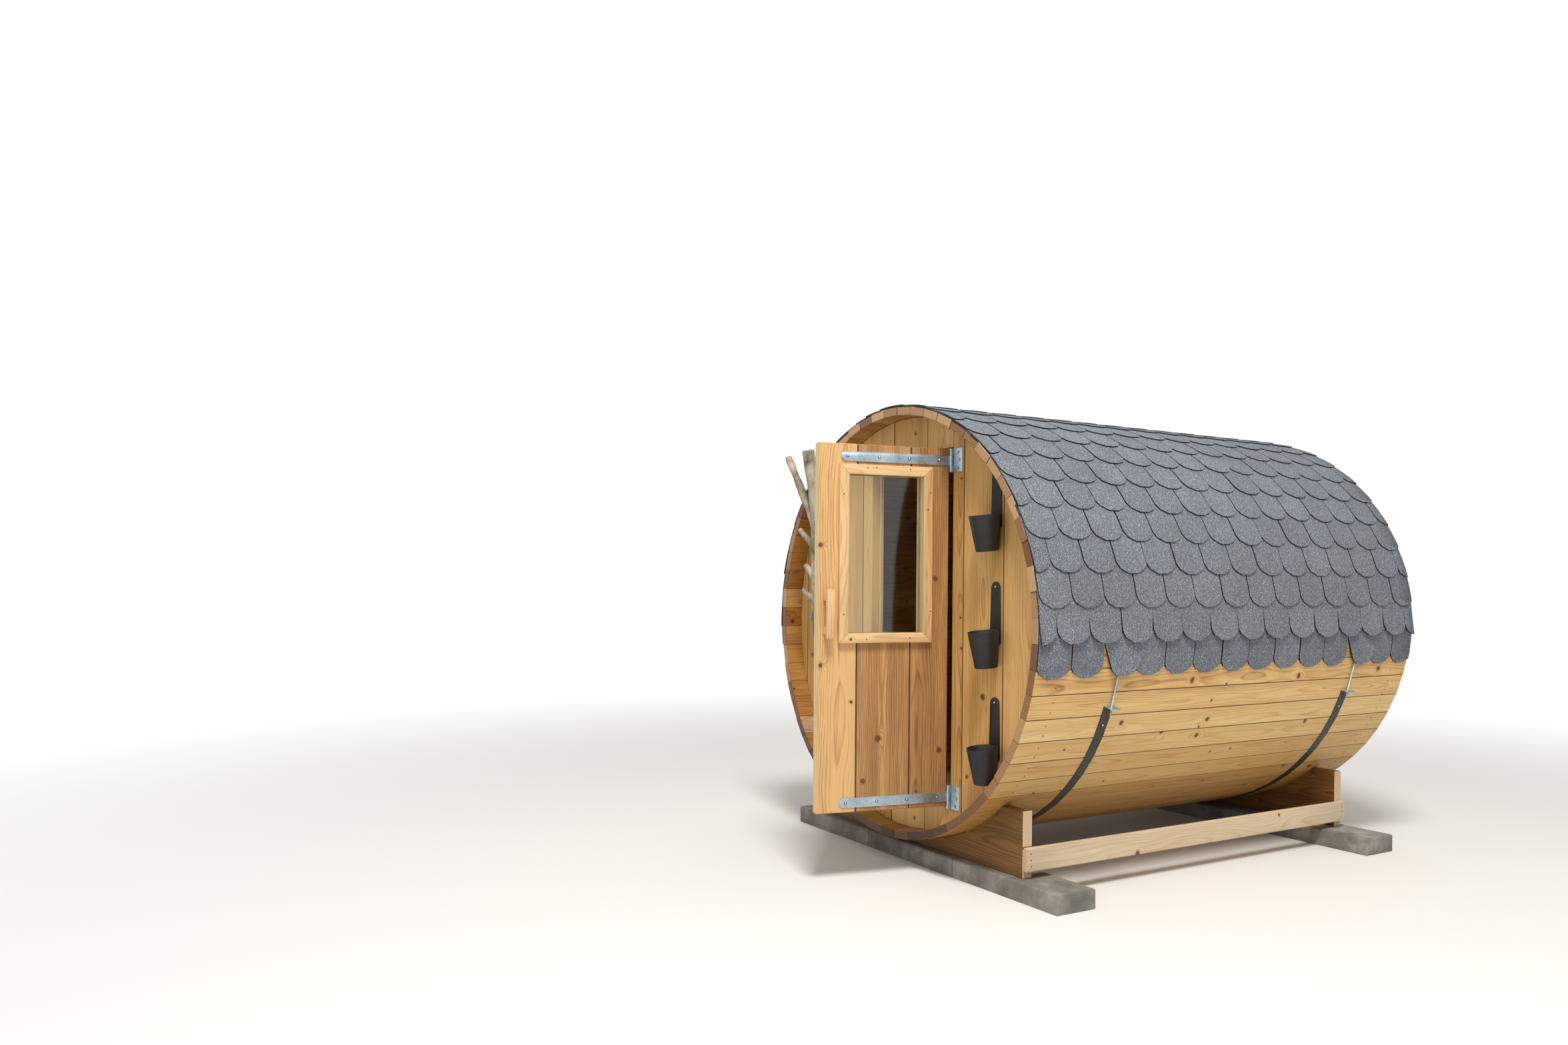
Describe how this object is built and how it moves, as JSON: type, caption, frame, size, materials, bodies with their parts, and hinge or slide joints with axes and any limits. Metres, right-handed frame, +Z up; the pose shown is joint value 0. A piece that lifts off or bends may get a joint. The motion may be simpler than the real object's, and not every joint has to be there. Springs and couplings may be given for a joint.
{
  "type": "barrel-shaped wooden garden hut",
  "caption": "Barrel-shaped garden hut of wooden staves on cradles, with a felt roof, steel bands, a recessed front wall and a hinged door with a window.",
  "frame": {"origin": "on the ground, at the middle of the front kerb's underside, straight below the barrel's axis", "axes": "+X to the right facing the door, +Y into the hut along the barrel, +Z up"},
  "size_m": [1.965, 2.8917, 2.0447],
  "materials": {
    "black_band": "dark strip steel",
    "concrete": "rough cast concrete",
    "cradle_wood": "stained softwood plank",
    "door_wood": "honey-stained softwood boards",
    "driftwood": "silver-grey weathered",
    "felt": "slate-grey mineral granules",
    "floor_wood": "plain softwood boards",
    "galvanised_steel": "zinc plated",
    "glass": "clear",
    "pot_plastic": "matt black",
    "stave_wood": "honey-stained softwood, satin",
    "trim_wood": "planed softwood",
    "wall_wood": "honey-stained softwood boards"
  },
  "bodies": {
    "hut": {"back_band": "black_band", "back_cradle": "cradle_wood", "back_kerb": "concrete", "back_wall": "wall_wood", "bottom_hinge_plate": "galvanised_steel", "door_stop": "trim_wood", "driftwood_rack": "driftwood", "floor_bearers": "floor_wood", "floor_deck": "floor_wood", "front_band": "black_band", "front_cradle": "cradle_wood", "front_kerb": "concrete", "front_wall_left": "wall_wood", "front_wall_over_door": "wall_wood", "front_wall_right": "wall_wood", "front_wall_under_door": "wall_wood", "left_rail": "cradle_wood", "lowest_tabs_left": "felt", "lowest_tabs_right": "felt", "right_rail": "cradle_wood", "roof_felt_left": "felt", "roof_felt_right": "felt", "roof_felt_top": "felt", "staves_bottom_even": "stave_wood", "staves_bottom_odd": "stave_wood", "staves_left_even": "stave_wood", "staves_left_odd": "stave_wood", "staves_right_even": "stave_wood", "staves_right_odd": "stave_wood", "staves_top_even": "stave_wood", "staves_top_odd": "stave_wood", "top_hinge_plate": "galvanised_steel", "wall_pot_bottom": "pot_plastic", "wall_pot_middle": "pot_plastic", "wall_pot_top": "pot_plastic"},
    "door": {"door_leaf": "door_wood", "door_ledges": "door_wood", "window_trim_outer": "trim_wood", "window_trim_inner": "trim_wood", "window_glass": "glass", "door_handle": "trim_wood", "top_hinge_strap": "galvanised_steel", "bottom_hinge_strap": "galvanised_steel"}
  },
  "joints": [
    {"name": "door_hinge", "type": "hinge", "parent": "hut", "child": "door", "pos_m": [0.328, -0.0955, 1.07268], "axis": [0, 0, 1], "range_deg": [-79, 41]}
  ]
}
